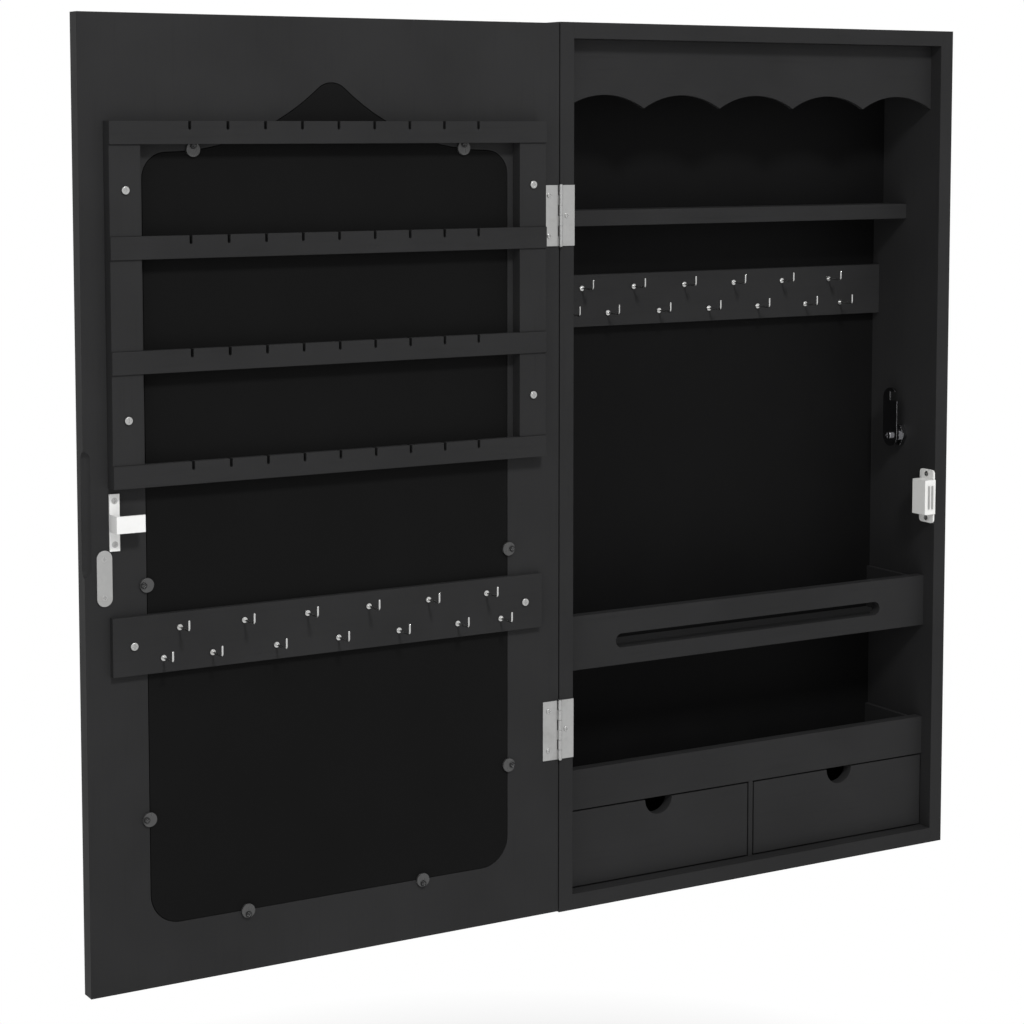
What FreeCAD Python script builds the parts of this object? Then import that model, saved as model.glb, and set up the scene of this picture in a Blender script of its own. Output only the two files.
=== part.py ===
import FreeCAD, Part
import math
import os

os.makedirs("parts", exist_ok=True)

# A wall-hung jewelry cabinet with a mirror door, shown with its door open flat to the left.
# Millimetres. X runs along the wall, +Y into the wall, +Z up.
# The origin is the centre of the cabinet's back, on the wall. Heights named here are
# measured up from the cabinet's underside, and setbacks from the plane of its front edges.

# Carcass
cabinet_width = 375.0
cabinet_height = 670.0
cabinet_depth = 88.0
panel_thickness = 12.0
back_thickness = 5.0
front_setback = 12.0
front_thickness = 9.0
shelf_top_height = 529.5
shelf_thickness = 12.0
shelf_setback = 41.0
hanging_board_thickness = 12.0
hanging_hole_radius = 3.0
hanging_hole_spacing = 280.0
hanging_hole_drop = 24.0
valance_drop = 51.0
valance_thickness = 4.0
scallop_count = 5
scallop_rise = 10.0

# Trays
tray_board = 3.0
tray_floor = 4.0
tray_side_drop = 2.6
upper_tray_height = 181.5
upper_tray_front_height = 41.5
slot_side_inset = 46.5
slot_width = 11.0
slot_drop = 2.1
lower_tray_front_height = 31.1
drawer_tray_gap = 1.2

# Drawers
drawer_front_height = 58.5
drawer_floor_gap = 1.3
drawer_side_gap = 1.3
drawer_board = 5.0
drawer_bottom = 3.0
drawer_runner_gap = 0.3
drawer_back_gap = 1.0
drawer_top_drop = 6.0
drawer_notch_radius = 12.5
divider_thickness = 4.0

# Hooks and the rails that carry them
rail_height = 40.5
cabinet_rail_height = 457.5
cabinet_rail_thickness = 8.0
rail_plate_gap = 8.1
door_rail_thickness = 5.0
door_rail_screw_inset = 15.1
hook_pitch = 48.5
hook_row_spacing = 20.0
hook_upper_count = 6
hook_end_step = 0.75
hook_wire_radius = 0.75
hook_reach = 17.0
hook_rise = 6.8
hook_bend_radius = 2.0
hook_collar_radius = 2.0
hook_collar_thickness = 1.2
hook_thread_length = 4.0

# Door
door_gap = 1.0
door_thickness = 12.0
opening_side_rail = 44.25
opening_bottom_rail = 43.5
opening_top_rail = 45.0
opening_lower_radius = 22.0
opening_shoulder_radius = 18.0
arch_rise = 47.5
arch_flank_radius = 172.0
lip_width = 6.0
lip_thickness = 4.5
mirror_thickness = 3.0
backing_thickness = 4.5
mirror_clearance = 0.5
pull_height = 334.0
pull_length = 86.0
pull_radius = 6.0
pull_offset = 1.0

# Eccentric discs that hold the mirror
clip_radius = 5.0
clip_thickness = 1.8
clip_offset = 2.5
clip_edge_gap = 0.3
clip_running_clearance = 0.08
clip_side_height = 120.1
clip_rail_gap = 20.05
clip_bottom_spacing = 140.0
clip_top_spacing = 211.0

# Earring rack on the door
rack_side_inset = 17.4
rack_top_drop = 71.9
rack_strike_gap = 4.15
rack_upright_width = 22.3
rack_upright_thickness = 10.0
strip_count = 4
strip_height = 15.5
strip_thickness = 5.0
strip_proud = 1.2
earring_slot_count = 9
earring_slot_pitch = 28.0
earring_slot_width = 2.2
earring_slot_depth = 6.0
rack_screw_inset = 45.95

# Hinges
hinge_heights = {"upper": 527.8, "lower": 141.2}
hinge_length = 45.0
hinge_axis_out = 1.75
hinge_leaf_thickness = 1.0
hinge_door_leaf_width = 14.5
hinge_cabinet_leaf_width = 12.5
hinge_knuckle_radius = 1.6
hinge_pin_radius = 0.85
hinge_pin_head_radius = 1.25
hinge_pin_head = 0.6
hinge_knuckle_count = 6
hinge_knuckle_gap = 0.2
hinge_running_clearance = 0.08
hinge_leaf_relief = 0.35
hinge_door_screw_spread = 30.0
hinge_door_screw_from_edge = 5.1
hinge_cabinet_screw_inset = 5.4

# Cam lock in the right side
lock_height = 337.0
lock_setback = 45.5
barrel_radius = 6.5
barrel_head_radius = 9.5
barrel_head_thickness = 2.5
barrel_inner_length = 8.2
plug_radius = 5.0
plug_flange_radius = 6.5
plug_flange_thickness = 1.2
plug_clearance = 0.08
nut_across_flats = 17.0
nut_thickness = 4.0
keyway_width = 1.6
keyway_length = 7.0
keyway_depth = 9.0
cam_width = 17.8
cam_thickness = 2.0
cam_gap = 0.6
cam_notch_width = 7.5
cam_tip_length = 3.1
cam_hook_clearance = 0.5
cam_square = 5.6
cam_screw_radius = 1.6
cam_screw_head_radius = 3.6
cam_screw_head = 2.4
cam_screw_length = 5.0

# Lock strike on the door
strike_sheet = 1.3
strike_strip_width = 7.3
strike_strip_length = 39.0
strike_arm_height = 11.7
strike_arm_drop = 3.6
strike_arm_length = 20.7
strike_stand_off = 14.0
strike_flange_clearance = 0.8
strike_screw_spacing = 29.7

# Magnetic catch on the right side, and its plate on the door
catch_drop = 47.0
catch_flange_length = 44.0
catch_flange_depth = 17.4
catch_flange_thickness = 1.5
catch_flange_corner = 3.0
catch_body_length = 28.5
catch_body_width = 11.0
catch_body_depth = 15.0
catch_front_proud = 1.0
catch_wall = 1.2
catch_pole_thickness = 1.2
catch_pole_length = 19.0
catch_magnet_thickness = 2.4
catch_pole_depth = 11.0
catch_air_gap = 0.3
catch_screw_spacing = 36.5
catch_screw_setback = 9.0
plate_length = 38.3
plate_width = 11.0
plate_thickness = 1.2
plate_lean = 2.8
plate_screw_spacing = 26.2

# Screws: head radius, head height, shank radius and shank length
pan_screw = (2.8, 1.6, 1.4, 9.0)
hinge_screw = (2.0, 0.7, 1.1, 8.0)
flush_screw = (2.2, 1.0, 1.1, 7.0)
clip_screw = (2.2, 1.2, 1.3, 7.0)
recess_width = 0.6
recess_depth = 0.5

# Places worked out from the sizes above
base = -cabinet_height / 2
top_inside = cabinet_height / 2 - panel_thickness
bottom_inside = base + panel_thickness
left_inside = -cabinet_width / 2 + panel_thickness
right_inside = cabinet_width / 2 - panel_thickness
front = -cabinet_depth
back_inside = -back_thickness
front_face = front + front_setback
front_back = front_face + front_thickness

hinge_x = -cabinet_width / 2 - door_gap / 2
hinge_y = front - hinge_axis_out
closed_gap = 2 * hinge_axis_out
door_right = hinge_x - door_gap / 2
door_left = door_right - (cabinet_width - door_gap)
door_middle = (door_left + door_right) / 2
door_bottom = base + door_gap
door_top = base + cabinet_height - door_gap
door_outer = front + door_thickness

opening_half = (door_right - door_left) / 2 - opening_side_rail
opening_bottom = door_bottom + opening_bottom_rail
opening_peak = door_top - opening_top_rail
opening_shoulder = opening_peak - arch_rise

lock_z = base + lock_height
lock_y = front + lock_setback
barrel_end = right_inside - barrel_inner_length
cam_right = barrel_end - cam_gap
cam_left = cam_right - cam_thickness
strike_z = lock_z - strike_arm_drop - strike_arm_height / 2
catch_z = lock_z - catch_drop

rack_top = door_top - rack_top_drop
rack_bottom = strike_z + strike_strip_length / 2 + rack_strike_gap
rack_width = door_right - door_left - 2 * rack_side_inset
strip_pitch = (rack_top - rack_bottom - strip_height) / (strip_count - 1)
strip_face = front - rack_upright_thickness - strip_proud
door_rail_top = catch_z - plate_length / 2 - rail_plate_gap
door_rail_z = door_rail_top - rail_height / 2

UP = FreeCAD.Vector(0, 0, 1)
INWARD = FreeCAD.Vector(0, 1, 0)
OUTWARD = FreeCAD.Vector(0, -1, 0)
RIGHT = FreeCAD.Vector(1, 0, 0)
LEFT = FreeCAD.Vector(-1, 0, 0)


def vector(x, y, z):
    return FreeCAD.Vector(x, y, z)


def box(x_low, x_high, y_low, y_high, z_low, z_high):
    corner = vector(x_low, y_low, z_low)
    return Part.makeBox(x_high - x_low, y_high - y_low, z_high - z_low, corner)


def rod(start, direction, length, radius):
    return Part.makeCylinder(radius, length, start, direction)


def cut_all(shape, tools):
    return shape.cut(Part.makeCompound(tools)) if tools else shape


def closed_x(x):
    """Where a place on the shut door's X lies while the door is open flat."""
    return 2 * hinge_x - x


def cross_recess(centre, direction, reach):
    """Two crossed slots sunk into a screw head along direction."""
    across = RIGHT if abs(direction.x) < 0.5 else INWARD
    slots = []
    for turn in (0, 90):
        slot = Part.makeBox(2 * reach, recess_width, 2 * recess_depth)
        slot.translate(vector(-reach, -recess_width / 2, -recess_depth))
        slot.rotate(vector(0, 0, 0), UP, turn)
        slot.Placement = FreeCAD.Placement(vector(0, 0, 0), FreeCAD.Rotation(UP, direction)) * slot.Placement
        slot.translate(centre)
        slots.append(slot)
    return slots


def pan_head_screw(seat, into, sizes, grip=0.0):
    """A screw whose head sits on seat and whose shank runs along into, through grip and on."""
    head_radius, head_height, shank_radius, shank_length = sizes
    crown = seat - into * head_height
    head = rod(crown, into, head_height, head_radius)
    rim = [edge for edge in head.Edges if abs((edge.CenterOfMass - crown).dot(into)) < 0.01 and edge.Closed]
    head = head.makeFillet(min(0.5, head_height / 2), rim)
    shank = rod(seat, into, grip + shank_length, shank_radius)
    return cut_all(head.fuse(shank), cross_recess(crown, into, 0.6 * head_radius)).removeSplitter()


def flush_head_screw(seat, into, sizes, grip=0.0):
    """A countersunk screw whose head ends level with seat."""
    head_radius, head_height, shank_radius, shank_length = sizes
    head = Part.makeCone(head_radius, shank_radius, head_height, seat, into)
    shank = rod(seat + into * head_height, into, grip + shank_length - head_height, shank_radius)
    return cut_all(head.fuse(shank), cross_recess(seat, into, 0.6 * head_radius)).removeSplitter()


def pilot(seat, into, sizes, grip=0.0):
    """The hole that a screw's shank fills."""
    return rod(seat, into, grip + sizes[3], sizes[2])


def countersink(seat, into, sizes, grip):
    """The seat and hole that a countersunk screw fills in a sheet."""
    cone = Part.makeCone(sizes[0], sizes[2], sizes[1], seat, into)
    return cone.fuse(rod(seat, into, grip, sizes[2]))


def rows(centre, spacing):
    return (centre - spacing / 2, centre + spacing / 2)


# Places of the screws, used by the screws and by the boards that they enter
rack_screw_seats = [
    vector(x, front - rack_upright_thickness, z)
    for x in rows(door_middle, rack_width - rack_upright_width)
    for z in (rack_bottom + rack_screw_inset, rack_top - rack_screw_inset)
]
rail_screw_seats = [
    vector(x, front - door_rail_thickness, door_rail_z)
    for x in rows(door_middle, rack_width - 2 * door_rail_screw_inset)
]
strike_edge = closed_x(cam_right + strike_flange_clearance + strike_sheet)
strike_screw_seats = [
    vector(strike_edge + strike_strip_width / 2, front - strike_sheet, z)
    for z in rows(strike_z, strike_screw_spacing)
]
pole_middle = right_inside - catch_body_width / 2
plate_x = closed_x(pole_middle) - plate_lean
plate_screw_seats = [vector(plate_x, front - plate_thickness, z) for z in rows(catch_z, plate_screw_spacing)]
hinge_door_screw_seats = [
    vector(hinge_x - hinge_door_leaf_width + hinge_door_screw_from_edge, front - hinge_leaf_thickness, z)
    for height in hinge_heights.values()
    for z in rows(base + height, hinge_door_screw_spread)
]
hinge_cabinet_screw_seats = [
    vector(-cabinet_width / 2 + hinge_cabinet_screw_inset, front - hinge_leaf_thickness, base + height)
    for height in hinge_heights.values()
]
catch_screw_seats = [
    vector(right_inside - catch_flange_thickness, front + catch_screw_setback, z)
    for z in rows(catch_z, catch_screw_spacing)
]
hanging_holes = [
    vector(x, back_inside - hanging_board_thickness, top_inside - hanging_hole_drop)
    for x in rows(0, hanging_hole_spacing)
]


def flank_height(offset):
    """Height of the arch's concave flank at a distance from the door's middle line."""
    span = opening_half - opening_shoulder_radius
    run = span - offset
    return opening_shoulder + arch_flank_radius - math.sqrt(arch_flank_radius**2 - run**2)


# Each clip: the point on the opening's edge that it covers and the way out from the mirror
clip_places = []
for z in (base + clip_side_height, door_rail_top + clip_rail_gap):
    clip_places.append((vector(door_middle - opening_half, front, z), LEFT))
    clip_places.append((vector(door_middle + opening_half, front, z), RIGHT))
for x in rows(door_middle, clip_bottom_spacing):
    clip_places.append((vector(x, front, opening_bottom), -UP))
for x in rows(door_middle, clip_top_spacing):
    clip_places.append((vector(x, front, flank_height(clip_top_spacing / 2)), UP))
clip_screw_seats = [
    edge + way * (clip_edge_gap + clip_offset) + OUTWARD * clip_thickness for edge, way in clip_places
]


def arch_face(inset, y):
    """The opening's outline drawn in by inset, as a face at depth y."""
    half = opening_half - inset
    bottom = opening_bottom + inset
    lower = opening_lower_radius - inset
    shoulder = opening_shoulder_radius - inset
    flank = arch_flank_radius + inset
    span = opening_half - opening_shoulder_radius
    flank_centre_z = opening_shoulder + arch_flank_radius
    centre_drop = arch_flank_radius - arch_rise
    crown = (span**2 + centre_drop**2 - arch_flank_radius**2) / (2 * arch_rise)
    crown_centre_z = opening_peak - crown
    lean = math.atan2(span, flank_centre_z - crown_centre_z)
    crown -= inset
    slant = math.sqrt(0.5)

    def at(x, z):
        return vector(door_middle + x, y, z)

    side_top = opening_shoulder - opening_shoulder_radius
    low_z = opening_bottom + opening_lower_radius
    low_x = opening_half - opening_lower_radius
    join = (crown * math.sin(lean), crown_centre_z + crown * math.cos(lean))
    middle = lean / 2
    edges = [Part.LineSegment(at(-low_x, bottom), at(low_x, bottom)).toShape()]
    for side in (1, -1):
        corner = at(side * (low_x + lower * slant), low_z - lower * slant)
        edges.append(Part.Arc(at(side * low_x, bottom), corner, at(side * half, low_z)).toShape())
        edges.append(Part.LineSegment(at(side * half, low_z), at(side * half, side_top)).toShape())
        corner = at(side * (span + shoulder * slant), side_top + shoulder * slant)
        foot = at(side * span, side_top + shoulder)
        edges.append(Part.Arc(at(side * half, side_top), corner, foot).toShape())
        belly = at(side * (span - flank * math.sin(middle)), flank_centre_z - flank * math.cos(middle))
        edges.append(Part.Arc(foot, belly, at(side * join[0], join[1])).toShape())
    crown_top = at(0, crown_centre_z + crown)
    edges.append(Part.Arc(at(-join[0], join[1]), crown_top, at(join[0], join[1])).toShape())
    return Part.Face(Part.Wire(Part.__sortEdges__(edges)))


def arch_board(inset, y_low, thickness):
    return arch_face(inset, y_low).extrude(INWARD * thickness)


def side_panels():
    """The two sides, the right one bored for the lock barrel."""
    height = (base, base + cabinet_height)
    left = box(-cabinet_width / 2, left_inside, front, 0, *height)
    pilots = [pilot(seat, INWARD, hinge_screw, hinge_leaf_thickness) for seat in hinge_cabinet_screw_seats]
    right = box(right_inside, cabinet_width / 2, front, 0, *height)
    bores = [rod(vector(right_inside, lock_y, lock_z), RIGHT, panel_thickness, barrel_radius)]
    bores += [pilot(seat, RIGHT, flush_screw, catch_flange_thickness) for seat in catch_screw_seats]
    return {"side_panel_left": cut_all(left, pilots), "side_panel_right": cut_all(right, bores)}


def carcass_boards():
    """Top, bottom, back, hanging board and shelf."""
    across = (left_inside, right_inside)
    holes = [rod(hole, INWARD, -hole.y, hanging_hole_radius) for hole in hanging_holes]
    shelf_top = base + shelf_top_height
    back = box(*across, back_inside, 0, bottom_inside, top_inside)
    hanging = box(*across, back_inside - hanging_board_thickness, back_inside, shelf_top, top_inside)
    return {
        "top_panel": box(*across, front, 0, top_inside, top_inside + panel_thickness),
        "bottom_panel": box(*across, front, 0, base, bottom_inside),
        "back_panel": cut_all(back, holes),
        "hanging_board": cut_all(hanging, holes),
        "shelf": box(*across, front + shelf_setback, back_inside, shelf_top - shelf_thickness, shelf_top),
    }


def valance():
    """The front board under the top, its lower edge cut in equal arcs."""
    cusp = top_inside - valance_drop
    pitch = (right_inside - left_inside) / scallop_count
    right = [vector(right_inside, front_face, z) for z in (cusp, top_inside)]
    left = [vector(left_inside, front_face, z) for z in (top_inside, cusp)]
    points = right + left
    edges = [Part.LineSegment(start, end).toShape() for start, end in zip(points, points[1:])]
    for index in range(scallop_count):
        start = left_inside + index * pitch
        crest = vector(start + pitch / 2, front_face, cusp + scallop_rise)
        ends = (vector(start, front_face, cusp), vector(start + pitch, front_face, cusp))
        edges.append(Part.Arc(ends[0], crest, ends[1]).toShape())
    face = Part.Face(Part.Wire(Part.__sortEdges__(edges)))
    return {"valance": face.extrude(INWARD * valance_thickness)}


def obround(x_low, x_high, z_low, z_high, y, depth):
    """A round-ended prism that runs inward from y."""
    radius = (z_high - z_low) / 2
    middle = (z_low + z_high) / 2
    body = box(x_low + radius, x_high - radius, y, y + depth, z_low, z_high)
    for x in (x_low + radius, x_high - radius):
        body = body.fuse(rod(vector(x, y, middle), INWARD, depth, radius))
    return body.removeSplitter()


def tray(name, low, height, slot_radius=0.0):
    """An open tray across the cabinet: a front, a floor and two thin sides, its low edge at low.
    With a slot radius, its front has a long slot a little below its middle."""
    top = low + height
    floor_top = low + tray_floor
    face = box(left_inside, right_inside, front_face, front_back, low, top)
    if slot_radius:
        middle = (low + top) / 2 - slot_drop
        ends = (left_inside + slot_side_inset, right_inside - slot_side_inset)
        slot = obround(*ends, middle - slot_radius, middle + slot_radius, front_face, front_thickness)
        face = face.cut(slot)
    span = (front_back, back_inside, floor_top, top - tray_side_drop)
    walls = [
        box(left_inside, left_inside + tray_board, *span),
        box(right_inside - tray_board, right_inside, *span),
    ]
    return {
        name + "_front": face,
        name + "_floor": box(left_inside, right_inside, front_back, back_inside, low, floor_top),
        name + "_sides": Part.makeCompound(walls),
    }


drawer_top = bottom_inside + drawer_floor_gap + drawer_front_height
lower_tray_low = drawer_top + drawer_tray_gap


def drawer(name, x_low, x_high):
    """A drawer box: a front with a half-round finger notch, two sides, a back and a bottom."""
    low = bottom_inside + drawer_runner_gap
    side_top = drawer_top - drawer_top_drop
    back = back_inside - drawer_back_gap
    inner = (x_low + drawer_board, x_high - drawer_board)
    floor_top = low + drawer_bottom
    face = box(x_low, x_high, front_face, front_back, bottom_inside + drawer_floor_gap, drawer_top)
    notch_centre = vector((x_low + x_high) / 2, front_face, drawer_top)
    notch = rod(notch_centre, INWARD, front_thickness, drawer_notch_radius)
    walls = [
        box(x_low, inner[0], front_back, back, low, side_top),
        box(inner[1], x_high, front_back, back, low, side_top),
    ]
    return {
        name + "_front": face.cut(notch),
        name + "_sides": Part.makeCompound(walls),
        name + "_back": box(*inner, back - drawer_board, back, low, side_top),
        name + "_bottom": box(*inner, front_back, back - drawer_board, low, floor_top),
    }


def drawers():
    """Two drawers side by side with a thin board between them."""
    half = divider_thickness / 2
    parts = {"drawer_divider": box(-half, half, front_face, back_inside, bottom_inside, lower_tray_low)}
    parts.update(drawer("drawer_left", left_inside + drawer_side_gap, -half - drawer_side_gap))
    parts.update(drawer("drawer_right", half + drawer_side_gap, right_inside - drawer_side_gap))
    return parts


def hook_places(middle, centre_z):
    """Hooks in two staggered rows: the lower row fills the gaps and has one more at each end."""
    upper = [middle + (i - (hook_upper_count - 1) / 2) * hook_pitch for i in range(hook_upper_count)]
    lower = [x + hook_pitch / 2 for x in upper[:-1]]
    end = hook_end_step * hook_pitch
    lower = [lower[0] - end] + lower + [lower[-1] + end]
    places = [(x, centre_z + hook_row_spacing / 2) for x in upper]
    return places + [(x, centre_z - hook_row_spacing / 2) for x in lower]


def hook(x, face_y, z):
    """A square-bend wire hook: a thread in the rail, a collar on its face, a shaft and a raised tip."""
    bend_start = vector(x, face_y - hook_reach + hook_bend_radius, z)
    bend_end = vector(x, face_y - hook_reach, z + hook_bend_radius)
    slant = hook_bend_radius * (1 - math.sqrt(0.5))
    bend_middle = vector(x, face_y - hook_reach + slant, z + slant)
    tip = vector(x, face_y - hook_reach, z + hook_rise)
    start = vector(x, face_y + hook_thread_length, z)
    path = Part.Wire([
        Part.LineSegment(start, bend_start).toShape(),
        Part.Arc(bend_start, bend_middle, bend_end).toShape(),
        Part.LineSegment(bend_end, tip).toShape(),
    ])
    section = Part.Wire(Part.makeCircle(hook_wire_radius, start, OUTWARD))
    wire = path.makePipeShell([section], True, False)
    collar = rod(vector(x, face_y, z), OUTWARD, hook_collar_thickness, hook_collar_radius)
    return wire.fuse([collar, Part.makeSphere(hook_wire_radius, tip)]).removeSplitter()


def hook_holes(places, face_y):
    return [rod(vector(x, face_y, z), INWARD, hook_thread_length, hook_wire_radius) for x, z in places]


def cabinet_hooks():
    """The hook rail on the back panel and its hooks."""
    centre = base + cabinet_rail_height
    face = back_inside - cabinet_rail_thickness
    places = hook_places(0, centre)
    rail = box(left_inside, right_inside, face, back_inside, *rows(centre, rail_height))
    return {
        "cabinet_hook_rail": cut_all(rail, hook_holes(places, face)),
        "cabinet_hooks": Part.makeCompound([hook(x, face, z) for x, z in places]),
    }


def door_hooks():
    """The hook rail screwed to the door, as wide as the earring rack, and its hooks."""
    face = front - door_rail_thickness
    places = hook_places(door_middle, door_rail_z)
    rail = box(*rows(door_middle, rack_width), face, front, *rows(door_rail_z, rail_height))
    bores = [pilot(seat, INWARD, pan_screw, door_rail_thickness) for seat in rail_screw_seats]
    return {
        "door_hook_rail": cut_all(rail, hook_holes(places, face) + bores),
        "door_hooks": Part.makeCompound([hook(x, face, z) for x, z in places]),
    }


def door():
    """The door board with its arched opening, the mirror in it and the backing behind the mirror."""
    board = box(door_left, door_right, front, door_outer, door_bottom, door_top)
    cuts = [
        arch_board(0, front, door_thickness - lip_thickness),
        arch_board(lip_width, front, door_thickness),
    ]
    pull_x = door_left - pull_offset
    pull_y = front - pull_offset
    end_reach = math.sqrt(pull_radius**2 - pull_offset**2)
    run = pull_length - 2 * end_reach
    pull_low = vector(pull_x, pull_y, base + pull_height - run / 2)
    cuts.append(rod(pull_low, UP, run, pull_radius))
    cuts.append(Part.makeSphere(pull_radius, pull_low))
    cuts.append(Part.makeSphere(pull_radius, pull_low + UP * run))
    cuts += [pilot(seat, INWARD, pan_screw, rack_upright_thickness) for seat in rack_screw_seats]
    cuts += [pilot(seat, INWARD, pan_screw, door_rail_thickness) for seat in rail_screw_seats]
    cuts += [pilot(seat, INWARD, hinge_screw, hinge_leaf_thickness) for seat in hinge_door_screw_seats]
    cuts += [pilot(seat, INWARD, flush_screw) for seat in plate_screw_seats + strike_screw_seats]
    cuts += [pilot(seat, INWARD, clip_screw, clip_thickness) for seat in clip_screw_seats]
    for cut in cuts:
        board = board.cut(cut)
    mirror_back = door_outer - lip_thickness - mirror_thickness
    return {
        "door_frame": board,
        "mirror_glass": arch_board(mirror_clearance, mirror_back, mirror_thickness),
        "mirror_backing": arch_board(mirror_clearance, mirror_back - backing_thickness, backing_thickness),
    }


def mirror_clips():
    """Discs bored off centre, each turning on its screw over the mirror's edge."""
    parts = {}
    for number, (edge, way) in enumerate(clip_places, start=1):
        centre = edge + way * clip_edge_gap
        disc = rod(centre, OUTWARD, clip_thickness, clip_radius)
        bore_radius = clip_screw[2] + clip_running_clearance
        bore = rod(centre + way * clip_offset, OUTWARD, clip_thickness, bore_radius)
        parts["mirror_clip_%d" % number] = disc.cut(bore)
    parts["clip_screws"] = Part.makeCompound(
        [pan_head_screw(seat, INWARD, clip_screw, clip_thickness) for seat in clip_screw_seats]
    )
    return parts


def earring_rack():
    """Two uprights on the door with slotted strips let into their faces."""
    half = rack_width / 2
    strip_back = strip_face + strip_thickness
    levels = [rack_top - strip_height - index * strip_pitch for index in range(strip_count)]
    lets = [
        box(door_middle - half, door_middle + half, strip_face, strip_back, low, low + strip_height)
        for low in levels
    ]
    uprights = []
    for x in (door_middle - half, door_middle + half - rack_upright_width):
        post = box(x, x + rack_upright_width, front - rack_upright_thickness, front, rack_bottom, rack_top)
        bores = [pilot(seat, INWARD, pan_screw, rack_upright_thickness) for seat in rack_screw_seats]
        uprights.append(cut_all(post, lets + bores))
    slots = []
    for index in range(earring_slot_count):
        x = door_middle + (index - (earring_slot_count - 1) / 2) * earring_slot_pitch
        radius = earring_slot_width / 2
        for low in levels:
            floor = low + strip_height - earring_slot_depth + radius
            slots.append(box(x - radius, x + radius, strip_face, strip_back, floor, low + strip_height))
            slots.append(rod(vector(x, strip_face, floor), INWARD, strip_thickness, radius))
    strips = [cut_all(strip, slots) for strip in lets]
    return {"rack_uprights": Part.makeCompound(uprights), "rack_strips": Part.makeCompound(strips)}


def knuckle(z_low, z_high, bore):
    """One turn of a hinge leaf's barrel round the pin."""
    outside = rod(vector(hinge_x, hinge_y, z_low), UP, z_high - z_low, hinge_knuckle_radius)
    return outside, rod(vector(hinge_x, hinge_y, z_low), UP, z_high - z_low, bore)


def hinge(name, height):
    """A butt hinge: two leaves on the front faces, knuckles in turn, and a headed pin."""
    low = base + height - hinge_length / 2
    step = (hinge_length + hinge_knuckle_gap) / hinge_knuckle_count
    reach = hinge_knuckle_radius + hinge_leaf_relief
    leaf = (front - hinge_leaf_thickness, front)
    plates = {
        "door": box(hinge_x - hinge_door_leaf_width, hinge_x - reach, *leaf, low, low + hinge_length),
        "cabinet": box(hinge_x + reach, hinge_x + hinge_cabinet_leaf_width, *leaf, low, low + hinge_length),
    }
    bores = {"door": hinge_pin_radius + hinge_running_clearance, "cabinet": hinge_pin_radius}
    for index in range(hinge_knuckle_count):
        side = ("door", "cabinet")[index % 2]
        z_low = low + index * step
        z_high = z_low + step - hinge_knuckle_gap
        outside, bore = knuckle(z_low, z_high, bores[side])
        ends = (hinge_x - reach, hinge_x) if side == "door" else (hinge_x, hinge_x + reach)
        web = box(*ends, *leaf, z_low, z_high)
        plates[side] = plates[side].fuse([outside, web]).cut(bore)
    holes = {
        "door": [pilot(seat, INWARD, hinge_screw) for seat in hinge_door_screw_seats],
        "cabinet": [pilot(seat, INWARD, hinge_screw) for seat in hinge_cabinet_screw_seats],
    }
    pin = rod(vector(hinge_x, hinge_y, low), UP, hinge_length, hinge_pin_radius)
    caps = [
        rod(vector(hinge_x, hinge_y, low - hinge_pin_head), UP, hinge_pin_head, hinge_pin_head_radius),
        rod(vector(hinge_x, hinge_y, low + hinge_length), UP, hinge_pin_head, hinge_pin_head_radius),
    ]
    return {
        "hinge_%s_door_leaf" % name: cut_all(plates["door"], holes["door"]).removeSplitter(),
        "hinge_%s_cabinet_leaf" % name: cut_all(plates["cabinet"], holes["cabinet"]).removeSplitter(),
        "hinge_%s_pin" % name: pin.fuse(caps).removeSplitter(),
    }


def cam_lock():
    """A barrel through the right side held by a nut, and a plug that turns a hooked cam."""
    axis_at = vector(right_inside, lock_y, lock_z)
    outer_face = cabinet_width / 2
    barrel = rod(vector(barrel_end, lock_y, lock_z), RIGHT, outer_face - barrel_end, barrel_radius)
    head = rod(vector(outer_face, lock_y, lock_z), RIGHT, barrel_head_thickness, barrel_head_radius)
    plug_end = outer_face + barrel_head_thickness
    core = rod(vector(barrel_end, lock_y, lock_z), RIGHT, plug_end - barrel_end, plug_radius + plug_clearance)
    flange_start = vector(plug_end - plug_flange_thickness, lock_y, lock_z)
    recess = rod(flange_start, RIGHT, plug_flange_thickness, plug_flange_radius + plug_clearance)
    plug = rod(vector(barrel_end, lock_y, lock_z), RIGHT, plug_end - barrel_end, plug_radius)
    plug = plug.fuse(rod(flange_start, RIGHT, plug_flange_thickness, plug_flange_radius))
    half = cam_square / 2
    spindle = box(cam_left, barrel_end, lock_y - half, lock_y + half, lock_z - half, lock_z + half)
    thread = rod(vector(cam_left, lock_y, lock_z), RIGHT, cam_screw_length, cam_screw_radius)
    keyway = box(
        plug_end - keyway_depth, plug_end, lock_y - keyway_width / 2, lock_y + keyway_width / 2,
        lock_z - keyway_length / 2, lock_z + keyway_length / 2,
    )
    hexagon = [
        vector(right_inside, lock_y + nut_across_flats / math.sqrt(3) * math.cos(math.radians(60 * i)),
               lock_z + nut_across_flats / math.sqrt(3) * math.sin(math.radians(60 * i)))
        for i in range(7)
    ]
    nut = Part.Face(Part.makePolygon(hexagon)).extrude(LEFT * nut_thickness)
    nut = nut.cut(rod(axis_at, LEFT, nut_thickness, barrel_radius))
    screw = pan_head_screw(
        vector(cam_left, lock_y, lock_z), RIGHT,
        (cam_screw_head_radius, cam_screw_head, cam_screw_radius, cam_screw_length),
    )
    return {
        "lock_barrel": barrel.fuse(head).cut(core).cut(recess).removeSplitter(),
        "lock_nut": nut,
        "lock_plug": plug.fuse(spindle).cut(thread).cut(keyway).removeSplitter(),
        "lock_cam": hooked_cam(),
        "lock_cam_screw": screw,
    }


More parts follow.
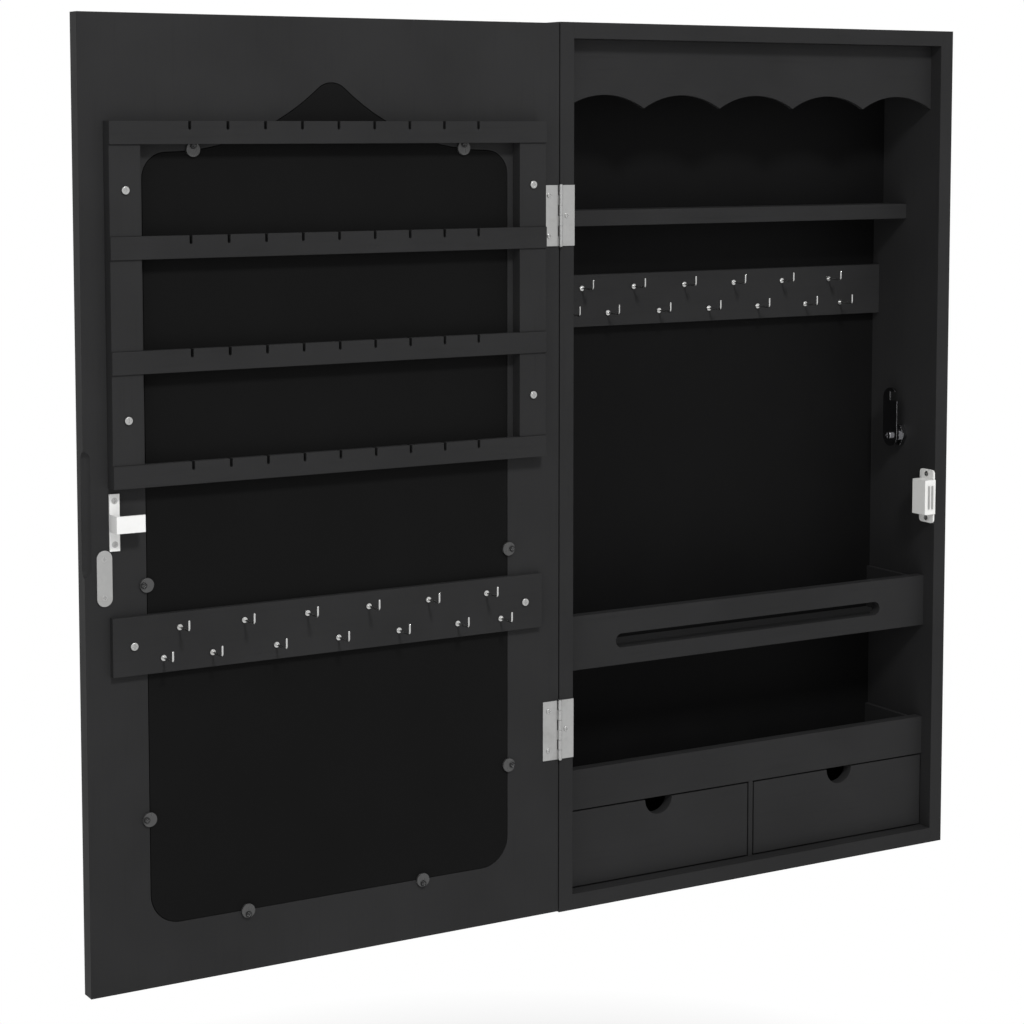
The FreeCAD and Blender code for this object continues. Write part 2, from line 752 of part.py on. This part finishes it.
def hooked_cam():
    """A round-ended bar that stands up from the plug, notched on its front edge near the tip."""
    half = cam_width / 2
    arm_face = front + strike_stand_off - closed_gap - strike_sheet
    notch_end = lock_y - arm_face + cam_hook_clearance
    reach = notch_end + cam_tip_length
    bar = box(cam_left, cam_right, lock_y - half, lock_y + half, lock_z, lock_z + reach - half)
    for z in (lock_z, lock_z + reach - half):
        bar = bar.fuse(rod(vector(cam_left, lock_y, z), RIGHT, cam_thickness, half))
    notch_high = lock_z + notch_end
    notch = box(cam_left, cam_right, lock_y - half, lock_y, notch_high - cam_notch_width, notch_high)
    square = cam_square / 2
    hole = box(cam_left, cam_right, lock_y - square, lock_y + square, lock_z - square, lock_z + square)
    return bar.cut(notch).cut(hole).removeSplitter()


def lock_strike():
    """A screwed strip on the door with an arm that stands off it and turns back towards the hinge."""
    low = strike_z - strike_arm_height / 2
    high = low + strike_arm_height
    half = strike_strip_length / 2
    outer = front - strike_stand_off
    strip = box(strike_edge, strike_edge + strike_strip_width, front - strike_sheet, front,
                strike_z - half, strike_z + half)
    flange = box(strike_edge, strike_edge + strike_sheet, outer, front, low, high)
    arm = box(strike_edge, strike_edge + strike_arm_length, outer, outer + strike_sheet, low, high)
    bores = [pilot(seat, INWARD, flush_screw) for seat in strike_screw_seats]
    sinks = [countersink(seat, INWARD, flush_screw, strike_sheet) for seat in strike_screw_seats]
    return {"lock_strike": cut_all(strip.fuse([flange, arm]), bores + sinks).removeSplitter()}


def magnetic_catch():
    """A flanged housing on the right side, two pole plates on a magnet, and the door's steel plate."""
    body_left = right_inside - catch_body_width
    body_front = front - catch_front_proud
    flange = box(
        right_inside - catch_flange_thickness, right_inside, front, front + catch_flange_depth,
        catch_z - catch_flange_length / 2, catch_z + catch_flange_length / 2,
    )
    corners = [edge for edge in flange.Edges if abs(edge.tangentAt(edge.FirstParameter).x) > 0.99]
    flange = flange.makeFillet(catch_flange_corner, corners)
    body = box(body_left, right_inside, body_front, front + catch_body_depth,
               catch_z - catch_body_length / 2, catch_z + catch_body_length / 2)
    pole_front = front - closed_gap + plate_thickness + catch_air_gap
    pole_back = pole_front + catch_pole_depth
    magnet_half = catch_magnet_thickness / 2
    pole_z = (catch_z - catch_pole_length / 2, catch_z + catch_pole_length / 2)
    pole_spans = [
        (pole_middle - magnet_half - catch_pole_thickness, pole_middle - magnet_half),
        (pole_middle + magnet_half, pole_middle + magnet_half + catch_pole_thickness),
    ]
    poles = [box(*span, pole_front, pole_back, *pole_z) for span in pole_spans]
    magnet_x = rows(pole_middle, catch_magnet_thickness)
    magnet = box(*magnet_x, body_front + catch_wall, pole_back, *pole_z)
    sinks = [countersink(seat, RIGHT, flush_screw, catch_flange_thickness) for seat in catch_screw_seats]
    half = plate_width / 2
    plate = obround_plate(plate_x, half, catch_z)
    return {
        "catch_housing": cut_all(flange.fuse(body), poles + [magnet] + sinks).removeSplitter(),
        "catch_pole_plates": Part.makeCompound(poles),
        "catch_magnet": magnet,
        "strike_plate": plate,
    }


def obround_plate(x, half_width, z):
    """The steel plate on the door, upright and round-ended, countersunk for two screws."""
    run = plate_length / 2 - half_width
    low = front - plate_thickness
    plate = box(x - half_width, x + half_width, low, front, z - run, z + run)
    for end in (z - run, z + run):
        plate = plate.fuse(rod(vector(x, low, end), INWARD, plate_thickness, half_width))
    sinks = [countersink(seat, INWARD, flush_screw, plate_thickness) for seat in plate_screw_seats]
    return cut_all(plate.removeSplitter(), sinks)


def screws():
    """The screws that hold the fittings to the door and to the cabinet."""
    flush_seats = plate_screw_seats + strike_screw_seats
    leaf = hinge_leaf_thickness
    on_door = [pan_head_screw(seat, INWARD, pan_screw, rack_upright_thickness) for seat in rack_screw_seats]
    on_door += [pan_head_screw(seat, INWARD, pan_screw, door_rail_thickness) for seat in rail_screw_seats]
    on_door += [flush_head_screw(seat, INWARD, flush_screw) for seat in flush_seats]
    on_door += [pan_head_screw(seat, INWARD, hinge_screw, leaf) for seat in hinge_door_screw_seats]
    on_cabinet = [pan_head_screw(seat, INWARD, hinge_screw, leaf) for seat in hinge_cabinet_screw_seats]
    grip = catch_flange_thickness
    on_cabinet += [flush_head_screw(seat, RIGHT, flush_screw, grip) for seat in catch_screw_seats]
    return {"door_screws": Part.makeCompound(on_door), "cabinet_screws": Part.makeCompound(on_cabinet)}


def build():
    parts = {}
    parts.update(side_panels())
    parts.update(carcass_boards())
    parts.update(valance())
    parts.update(tray("upper_tray", base + upper_tray_height, upper_tray_front_height, slot_width / 2))
    parts.update(tray("lower_tray", lower_tray_low, lower_tray_front_height))
    parts.update(drawers())
    parts.update(cabinet_hooks())
    parts.update(door())
    parts.update(mirror_clips())
    parts.update(earring_rack())
    parts.update(door_hooks())
    for name, height in hinge_heights.items():
        parts.update(hinge(name, height))
    parts.update(cam_lock())
    parts.update(lock_strike())
    parts.update(magnetic_catch())
    parts.update(screws())
    return parts


for node, shape in build().items():
    shape.exportStep("parts/%s.step" % node)
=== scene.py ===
import math

import bpy
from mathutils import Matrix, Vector


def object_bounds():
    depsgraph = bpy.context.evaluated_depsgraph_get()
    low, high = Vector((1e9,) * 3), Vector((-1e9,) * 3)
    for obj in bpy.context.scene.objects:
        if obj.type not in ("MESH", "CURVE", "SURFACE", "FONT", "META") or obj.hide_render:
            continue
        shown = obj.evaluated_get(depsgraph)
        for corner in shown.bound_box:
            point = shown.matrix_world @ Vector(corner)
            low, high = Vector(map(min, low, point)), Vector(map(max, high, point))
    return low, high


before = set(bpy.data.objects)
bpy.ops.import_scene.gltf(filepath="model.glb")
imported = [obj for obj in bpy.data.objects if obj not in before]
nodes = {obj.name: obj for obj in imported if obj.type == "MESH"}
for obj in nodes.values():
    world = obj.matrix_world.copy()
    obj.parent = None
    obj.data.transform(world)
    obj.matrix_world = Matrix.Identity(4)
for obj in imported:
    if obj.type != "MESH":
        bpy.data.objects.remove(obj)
cad_low, cad_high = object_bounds()
middle = (cad_low + cad_high) / 2

# Lengths are in metres. A texture's scale counts its features per metre.

# ---------------------------------------------------------------- node helpers


def add_math(tree, operation, first, second):
    node = tree.nodes.new("ShaderNodeMath")
    node.operation = operation
    for socket, value in zip(node.inputs, (first, second)):
        tree.links.new(value, socket)
    return node.outputs[0]


def add_range(tree, value, source, target):
    """Maps the source range to the target range and clamps what lies outside."""
    node = tree.nodes.new("ShaderNodeMapRange")
    numbers = (*source, *target)
    for socket, number in zip(("From Min", "From Max", "To Min", "To Max"), numbers):
        node.inputs[socket].default_value = number
    tree.links.new(value, node.inputs["Value"])
    return node.outputs[0]


def seen_as_backdrop(tree):
    """1 where the camera looks, also by way of a mirror or through clear plastic, and 0 for light."""
    path = tree.nodes.new("ShaderNodeLightPath").outputs
    indirect = add_math(tree, "MAXIMUM", path["Is Glossy Ray"], path["Is Transmission Ray"])
    return add_math(tree, "MAXIMUM", path["Is Camera Ray"], indirect)


def toned(shade, red=1.0, green=1.0, blue=1.0):
    return (shade * red, shade * green, shade * blue)


class Shader:
    """A node material built step by step round one Principled shader, on object coordinates."""

    bevel_samples = 4

    def __init__(self, name, color, roughness, metallic=0.0, specular=0.5):
        self.material = bpy.data.materials.new(name)
        self.material.use_nodes = True
        self.tree = self.material.node_tree
        self.tree.nodes.clear()
        self.output = self.add("ShaderNodeOutputMaterial")
        self.principled = self.add("ShaderNodeBsdfPrincipled")
        self.link(self.principled.outputs[0], self.output.inputs["Surface"])
        self.coordinates = self.add("ShaderNodeTexCoord").outputs["Object"]
        self.material.diffuse_color = (*color, 1.0)
        self.color = self.rgb(color)
        self.set("Base Color", (*color, 1.0))
        self.set("Roughness", roughness)
        self.set("Metallic", metallic)
        self.set("Specular IOR Level", specular)
        self.normal = None

    def add(self, kind):
        return self.tree.nodes.new(kind)

    def link(self, start, end):
        self.tree.links.new(start, end)

    def set(self, socket, value):
        self.principled.inputs[socket].default_value = value

    def rgb(self, color):
        node = self.add("ShaderNodeRGB")
        node.outputs[0].default_value = (*color, 1.0)
        return node.outputs[0]

    def noise(self, scale, detail=2.0, rough=0.5, stretch=None):
        node = self.add("ShaderNodeTexNoise")
        node.inputs["Scale"].default_value = scale
        node.inputs["Detail"].default_value = detail
        node.inputs["Roughness"].default_value = rough
        place = self.coordinates
        if stretch:
            mapping = self.add("ShaderNodeMapping")
            mapping.inputs["Scale"].default_value = stretch
            self.link(place, mapping.inputs["Vector"])
            place = mapping.outputs[0]
        self.link(place, node.inputs["Vector"])
        return node.outputs[0]

    def cells(self, scale):
        node = self.add("ShaderNodeTexVoronoi")
        node.inputs["Scale"].default_value = scale
        self.link(self.coordinates, node.inputs["Vector"])
        return node.outputs

    def bands(self, direction, scale, distortion):
        node = self.add("ShaderNodeTexWave")
        node.bands_direction = direction
        node.inputs["Scale"].default_value = scale
        node.inputs["Distortion"].default_value = distortion
        self.link(self.coordinates, node.inputs["Vector"])
        return node.outputs[1]

    def ranged(self, value, source, target):
        return add_range(self.tree, value, source, target)

    def sum(self, first, second):
        return add_math(self.tree, "ADD", first, second)

    def product(self, first, second):
        return add_math(self.tree, "MULTIPLY", first, second)

    def tint(self, factor, color):
        """Mixes the colour so far with another where factor is high."""
        node = self.add("ShaderNodeMix")
        node.data_type = "RGBA"
        self.link(factor, node.inputs["Factor"])
        self.link(self.color, node.inputs["A"])
        node.inputs["B"].default_value = (*color, 1.0)
        self.color = node.outputs["Result"]
        self.link(self.color, self.principled.inputs["Base Color"])

    def roughen(self, value):
        self.link(value, self.principled.inputs["Roughness"])

    def bevel(self, radius):
        node = self.add("ShaderNodeBevel")
        node.samples = self.bevel_samples
        node.inputs["Radius"].default_value = radius
        return node.outputs[0]

    def round_edges(self, radius):
        """Soft highlights along the edges, as on sanded and painted board or tumbled metal."""
        self.normal = self.bevel(radius)
        self.link(self.normal, self.principled.inputs["Normal"])

    def outer_edge_mask(self, radius, reach):
        """A mask that is high on outer edges within radius."""
        dot = self.add("ShaderNodeVectorMath")
        dot.operation = "DOT_PRODUCT"
        self.link(self.bevel(radius), dot.inputs[0])
        self.link(self.add("ShaderNodeNewGeometry").outputs["Normal"], dot.inputs[1])
        flat_from = 0.98
        return self.ranged(dot.outputs["Value"], (1.0 - reach, flat_from), (1.0, 0.0))

    def bump(self, height, strength, distance):
        node = self.add("ShaderNodeBump")
        node.inputs["Strength"].default_value = strength
        node.inputs["Distance"].default_value = distance
        self.link(height, node.inputs["Height"])
        if self.normal is not None:
            self.link(self.normal, node.inputs["Normal"])
        self.normal = node.outputs[0]
        self.link(self.normal, self.principled.inputs["Normal"])


# ------------------------------------------------------------------- materials


def black_paint(name, shade, roughness, specular, grain):
    """Satin black paint rolled on fibreboard: low orange peel, dust nibs, patchy sheen, rubbed
    edges. The grain stretches the faint fibres that telegraph through, along the board's length."""
    shader = Shader(name, toned(shade, blue=1.02), roughness, specular=specular)
    shader.round_edges(radius=0.0007)
    clouds = shader.noise(9.0, detail=3.0, rough=0.6)
    fibres = shader.noise(420.0, detail=4.0, rough=0.65, stretch=grain)
    peel = shader.noise(900.0)
    nibs = shader.cells(160.0)["Distance"]
    shader.tint(shader.ranged(clouds, (0.35, 0.7), (0.0, 0.55)), toned(shade, 1.35, 1.35, 1.38))
    shader.tint(shader.ranged(fibres, (0.55, 0.8), (0.0, 0.35)), toned(shade * 0.6))
    handled = shader.ranged(clouds, (0.4, 0.65), (0.15, 0.6))
    rubbed = shader.product(shader.outer_edge_mask(radius=0.0009, reach=0.30), handled)
    shader.tint(rubbed, toned(shade * 1.6))
    sheen = shader.ranged(clouds, (0.3, 0.7), (roughness - 0.05, roughness + 0.06))
    shader.roughen(shader.sum(sheen, shader.ranged(fibres, (0.3, 0.8), (-0.02, 0.04))))
    shader.bump(peel, strength=0.16, distance=0.00004)
    shader.bump(fibres, strength=0.10, distance=0.00005)
    shader.bump(shader.ranged(nibs, (0.0, 0.05), (1.0, 0.0)), strength=0.12, distance=0.00004)
    return shader.material


def plated_steel(name, shade, roughness, grain):
    """Zinc-plated sheet or wire: fine drawn lines, faint crystal patches, duller where stained."""
    shader = Shader(name, toned(shade, blue=0.985), roughness, metallic=1.0)
    shader.round_edges(radius=0.00025)
    lines = shader.noise(1500.0, detail=3.0, rough=0.6, stretch=grain)
    patches = shader.cells(380.0)["Color"]
    stains = shader.noise(60.0, detail=4.0, rough=0.6)
    shader.tint(shader.ranged(patches, (0.0, 1.0), (0.0, 0.22)), toned(shade, 0.72, 0.73, 0.75))
    shader.tint(shader.ranged(stains, (0.52, 0.78), (0.0, 0.35)), toned(shade, 0.6, 0.58, 0.54))
    drawn = shader.ranged(lines, (0.3, 0.7), (roughness - 0.06, roughness + 0.08))
    shader.roughen(shader.sum(drawn, shader.ranged(stains, (0.4, 0.8), (0.0, 0.1))))
    shader.bump(lines, strength=0.2, distance=0.00003)
    return shader.material


def black_metal():
    """Black-plated screws: glossy, with light handling marks, and rims lightened in the base colour:
    partly worn plating, partly a painted highlight.
    """
    shader = Shader("black_metal", (0.006, 0.006, 0.0065), 0.2, specular=0.3)
    shader.round_edges(radius=0.0003)
    marks = shader.noise(240.0, detail=4.0, rough=0.7, stretch=(1.0, 1.0, 0.2))
    # Painted highlight: the rims' base colour is lifted to stand in for glints, on top of some real
    # wear.
    shader.tint(shader.outer_edge_mask(radius=0.0004, reach=0.3), toned(0.3))
    shader.tint(shader.ranged(marks, (0.62, 0.85), (0.0, 0.3)), toned(0.03))
    shader.roughen(shader.ranged(marks, (0.3, 0.8), (0.2, 0.36)))
    shader.bump(marks, strength=0.1, distance=0.00003)
    return shader.material


def lock_plating():
    """Dark polished plating on the lock: mirror-like, with handling marks and a few dull spots."""
    shader = Shader("lock_plating", (0.34, 0.34, 0.35), 0.14, metallic=1.0)
    shader.round_edges(radius=0.00035)
    marks = shader.noise(260.0, detail=4.0, rough=0.7)
    spots = shader.noise(900.0, detail=3.0, rough=0.6)
    shader.tint(shader.ranged(spots, (0.58, 0.8), (0.0, 0.4)), (0.2, 0.2, 0.21))
    handled = shader.ranged(marks, (0.35, 0.8), (0.1, 0.22))
    shader.roughen(shader.sum(handled, shader.ranged(spots, (0.5, 0.8), (0.0, 0.08))))
    shader.bump(marks, strength=0.06, distance=0.00002)
    return shader.material


def mirror():
    """Silvered float glass seen from its front, with some dust and the faint roll of the float."""
    shader = Shader("mirror", (0.88, 0.895, 0.89), 0.012, metallic=1.0)
    dust = shader.noise(700.0, detail=4.0, rough=0.7)
    smears = shader.noise(14.0, detail=3.0, rough=0.6)
    shader.tint(shader.ranged(dust, (0.72, 0.86), (0.0, 0.2)), (0.6, 0.61, 0.61))
    smeared = shader.ranged(smears, (0.45, 0.8), (0.008, 0.03))
    shader.roughen(shader.sum(smeared, shader.ranged(dust, (0.7, 0.9), (0.0, 0.06))))
    shader.bump(smears, strength=0.02, distance=0.00002)
    shader.set("Coat Weight", 0.3)
    shader.set("Coat Roughness", 0.02)
    return shader.material


def backing_board():
    """Dark pressed board: matted fibres, a fine wire-cloth texture and a few paler flecks."""
    shader = Shader("backing_board", toned(0.0054), 0.72, specular=0.04)
    fibres = shader.noise(900.0, detail=5.0, rough=0.7)
    flecks = shader.cells(520.0)["Distance"]
    clouds = shader.noise(11.0, detail=3.0, rough=0.6)
    weave = [shader.bands(direction, scale=200.0, distortion=1.2) for direction in "XZ"]
    shader.tint(shader.ranged(clouds, (0.35, 0.7), (0.0, 0.5)), (0.0068, 0.0068, 0.0069))
    shader.tint(shader.ranged(flecks, (0.0, 0.09), (0.35, 0.0)), (0.012, 0.012, 0.0115))
    shader.roughen(shader.ranged(fibres, (0.3, 0.7), (0.64, 0.8)))
    shader.bump(shader.product(*weave), strength=0.12, distance=0.00008)
    shader.bump(fibres, strength=0.25, distance=0.00008)
    return shader.material


def white_plastic():
    """Moulded white plastic: soft sheen, spark-eroded grain, slight yellowing in patches."""
    shader = Shader("white_plastic", (0.78, 0.78, 0.765), 0.38)
    shader.round_edges(radius=0.0004)
    grain = shader.noise(1600.0, detail=3.0, rough=0.6)
    clouds = shader.noise(90.0, detail=3.0, rough=0.6)
    shader.tint(shader.ranged(clouds, (0.4, 0.75), (0.0, 0.4)), (0.74, 0.735, 0.70))
    shader.roughen(shader.ranged(grain, (0.3, 0.7), (0.33, 0.45)))
    shader.bump(grain, strength=0.15, distance=0.00003)
    return shader.material


def white_paint():
    """White powder coat on bent sheet: pebbled, a touch thin along the bends."""
    shader = Shader("white_powder_coat", (0.76, 0.76, 0.75), 0.42)
    shader.round_edges(radius=0.0003)
    pebbles = shader.cells(1100.0)["Distance"]
    clouds = shader.noise(120.0, detail=3.0, rough=0.6)
    shader.tint(shader.outer_edge_mask(radius=0.0004, reach=0.3), (0.6, 0.6, 0.59))
    shader.tint(shader.ranged(clouds, (0.45, 0.8), (0.0, 0.35)), (0.7, 0.7, 0.68))
    shader.roughen(shader.ranged(clouds, (0.3, 0.8), (0.38, 0.5)))
    shader.bump(pebbles, strength=0.2, distance=0.00003)
    return shader.material


def smoky_plastic():
    """Moulded disc of smoky, slightly clear plastic, with flow lines and a soft gloss."""
    shader = Shader("clear_plastic", toned(0.04), 0.3)
    shader.round_edges(radius=0.0003)
    flow = shader.noise(300.0, detail=3.0, rough=0.6, stretch=(1.0, 1.0, 0.3))
    shader.tint(shader.ranged(flow, (0.4, 0.7), (0.0, 0.5)), toned(0.058))
    shader.roughen(shader.ranged(flow, (0.3, 0.7), (0.24, 0.36)))
    shader.bump(flow, strength=0.12, distance=0.00003)
    shader.set("Transmission Weight", 0.15)
    shader.set("Coat Weight", 0.15)
    shader.set("Coat Roughness", 0.15)
    return shader.material


def ferrite():
    """Sintered magnet: dark grey, granular and matt."""
    shader = Shader("ferrite", (0.04, 0.04, 0.042), 0.6)
    grains = shader.noise(2200.0, detail=3.0, rough=0.7)
    shader.tint(shader.ranged(grains, (0.5, 0.75), (0.0, 0.5)), toned(0.08))
    shader.roughen(shader.ranged(grains, (0.3, 0.7), (0.5, 0.7)))
    shader.bump(grains, strength=0.3, distance=0.00004)
    return shader.material


# A grain is drawn out along the axis whose scale is small.
UPRIGHT = (1.0, 1.0, 0.04)
LEVEL = (0.04, 1.0, 1.0)
SHEET_GRAIN = (1.0, 1.0, 0.05)
WIRE_GRAIN = (1.0, 0.05, 1.0)
NO_GRAIN = (1.0, 1.0, 1.0)

outer_paint = {"shade": 0.0205, "roughness": 0.5, "specular": 0.05}
# The inside copy of the black paint is about four times darker than the outer one: partly a darker
# board, partly painted shade for the cavity.
inner_paint_with_painted_shade = {"shade": 0.0049, "roughness": 0.55, "specular": 0.04}

drawer_boards = ["drawer_%s_%s" % (side, board) for side in ("left", "right")
                 for board in ("front", "sides", "back", "bottom")]
hinge_pieces = ["hinge_%s_%s" % (place, piece) for place in ("upper", "lower")
                for piece in ("door_leaf", "cabinet_leaf", "pin")]
mirror_clips = ["mirror_clip_%d" % number for number in range(1, 9)]

finish = {
    black_paint("black_paint_upright", grain=UPRIGHT, **outer_paint): [
        "side_panel_left", "side_panel_right", "door_frame", "rack_uprights", "drawer_divider"],
    black_paint("black_paint_level", grain=LEVEL, **outer_paint): [
        "top_panel", "bottom_panel", "shelf", "valance", "upper_tray_front", "lower_tray_front",
        "upper_tray_floor", "lower_tray_floor", "upper_tray_sides", "lower_tray_sides",
        "cabinet_hook_rail", "door_hook_rail", "rack_strips"] + drawer_boards,
    # Back panel and hanging board get the darker inside copy, which carries painted shade.
    black_paint("black_paint_inside", grain=UPRIGHT, **inner_paint_with_painted_shade): [
        "back_panel", "hanging_board"],
    plated_steel("zinc_sheet", shade=0.42, roughness=0.36, grain=SHEET_GRAIN): [
        "strike_plate", "catch_pole_plates"] + hinge_pieces,
    plated_steel("zinc_wire", shade=0.56, roughness=0.24, grain=WIRE_GRAIN): [
        "cabinet_hooks", "door_hooks"],
    plated_steel("zinc_screw", shade=0.46, roughness=0.3, grain=NO_GRAIN): [
        "door_screws", "cabinet_screws"],
    lock_plating(): ["lock_barrel", "lock_nut", "lock_plug", "lock_cam", "lock_cam_screw"],
    black_metal(): ["clip_screws"],
    mirror(): ["mirror_glass"],
    backing_board(): ["mirror_backing"],
    white_plastic(): ["catch_housing"],
    white_paint(): ["lock_strike"],
    smoky_plastic(): mirror_clips,
    ferrite(): ["catch_magnet"],
}
for material, names in finish.items():
    for name in names:
        for slot in nodes[name].material_slots:
            slot.material = material

# ------------------------------------------------------------- floor and light

floor_drop = 0.30
floor_size = 14.0
fade_from = 0.2
fade_to = 0.65
backdrop_strength = 1.0
world_strength = 0.58

half = floor_size / 2
floor_z = cad_low.z - floor_drop
corners = [(-half, -half, floor_z), (half, -half, floor_z), (half, half, floor_z),
           (-half, half, floor_z)]
floor_mesh = bpy.data.meshes.new("floor")
floor_mesh.from_pydata(corners, [], [(0, 1, 2, 3)])
floor = bpy.data.objects.new("floor", floor_mesh)
bpy.context.collection.objects.link(floor)


def floor_material():
    """Pale matt floor under the object that turns into the white background away from it."""
    shader = Shader("floor", toned(0.92), 0.85, specular=0.1)
    offset = shader.add("ShaderNodeVectorMath")
    offset.operation = "DISTANCE"
    offset.inputs[1].default_value = (middle.x, middle.y, floor_z)
    shader.link(shader.coordinates, offset.inputs[0])
    far = shader.ranged(offset.outputs["Value"], (fade_from, fade_to), (0.0, 1.0))
    speckle = shader.noise(300.0, detail=3.0, rough=0.6)
    shader.tint(shader.ranged(speckle, (0.4, 0.7), (0.0, 0.3)), toned(0.94))
    white = shader.add("ShaderNodeEmission")
    white.inputs["Strength"].default_value = backdrop_strength
    mix = shader.add("ShaderNodeMixShader")
    shader.link(shader.product(far, seen_as_backdrop(shader.tree)), mix.inputs[0])
    shader.link(shader.principled.outputs[0], mix.inputs[1])
    shader.link(white.outputs[0], mix.inputs[2])
    shader.link(mix.outputs[0], shader.output.inputs["Surface"])
    return shader.material


floor_mesh.materials.append(floor_material())

world = bpy.data.worlds.new("world")
world.use_nodes = True
bpy.context.scene.world = world
sky = world.node_tree
sky.nodes.clear()
sky_output = sky.nodes.new("ShaderNodeOutputWorld")
background = sky.nodes.new("ShaderNodeBackground")
background.inputs["Color"].default_value = (1.0, 1.0, 1.0, 1.0)
strength = add_range(sky, seen_as_backdrop(sky), (0.0, 1.0), (world_strength, backdrop_strength))
sky.links.new(strength, background.inputs["Strength"])
sky.links.new(background.outputs[0], sky_output.inputs["Surface"])


def area_light(name, place, size, power):
    """A square lamp that faces the middle of the object."""
    data = bpy.data.lights.new(name, "AREA")
    data.shape = "SQUARE"
    data.size = size
    data.energy = power
    light = bpy.data.objects.new(name, data)
    light.location = place
    light.rotation_euler = (middle - Vector(place)).to_track_quat("-Z", "Y").to_euler()
    bpy.context.collection.objects.link(light)


area_light("key", place=(-0.65, -2.4, 2.15), size=0.45, power=60.0)
area_light("fill", place=(-2.6, -1.4, 0.3), size=1.6, power=7.0)
area_light("back", place=(0.6, 2.4, 1.4), size=1.8, power=12.0)

# ---------------------------------------------------------------------- camera

# The downward pitch and the shift share what a level camera would need from the shift alone.
camera_data = bpy.data.cameras.new("camera")
camera_data.lens = 87.5
camera_data.sensor_width = 36.0
camera_data.shift_y = -0.16
camera_data.clip_start = 0.05
camera_data.clip_end = 60.0
camera = bpy.data.objects.new("camera", camera_data)
camera.location = (-1.1608, -1.6512, 0.2589)
yaw, pitch = math.radians(30.8), math.radians(5.107)
aim = Vector((math.sin(yaw) * math.cos(pitch), math.cos(yaw) * math.cos(pitch), -math.sin(pitch)))
camera.rotation_euler = aim.to_track_quat("-Z", "Y").to_euler()
bpy.context.collection.objects.link(camera)
bpy.context.scene.camera = camera
bpy.context.scene.view_settings.view_transform = "Standard"
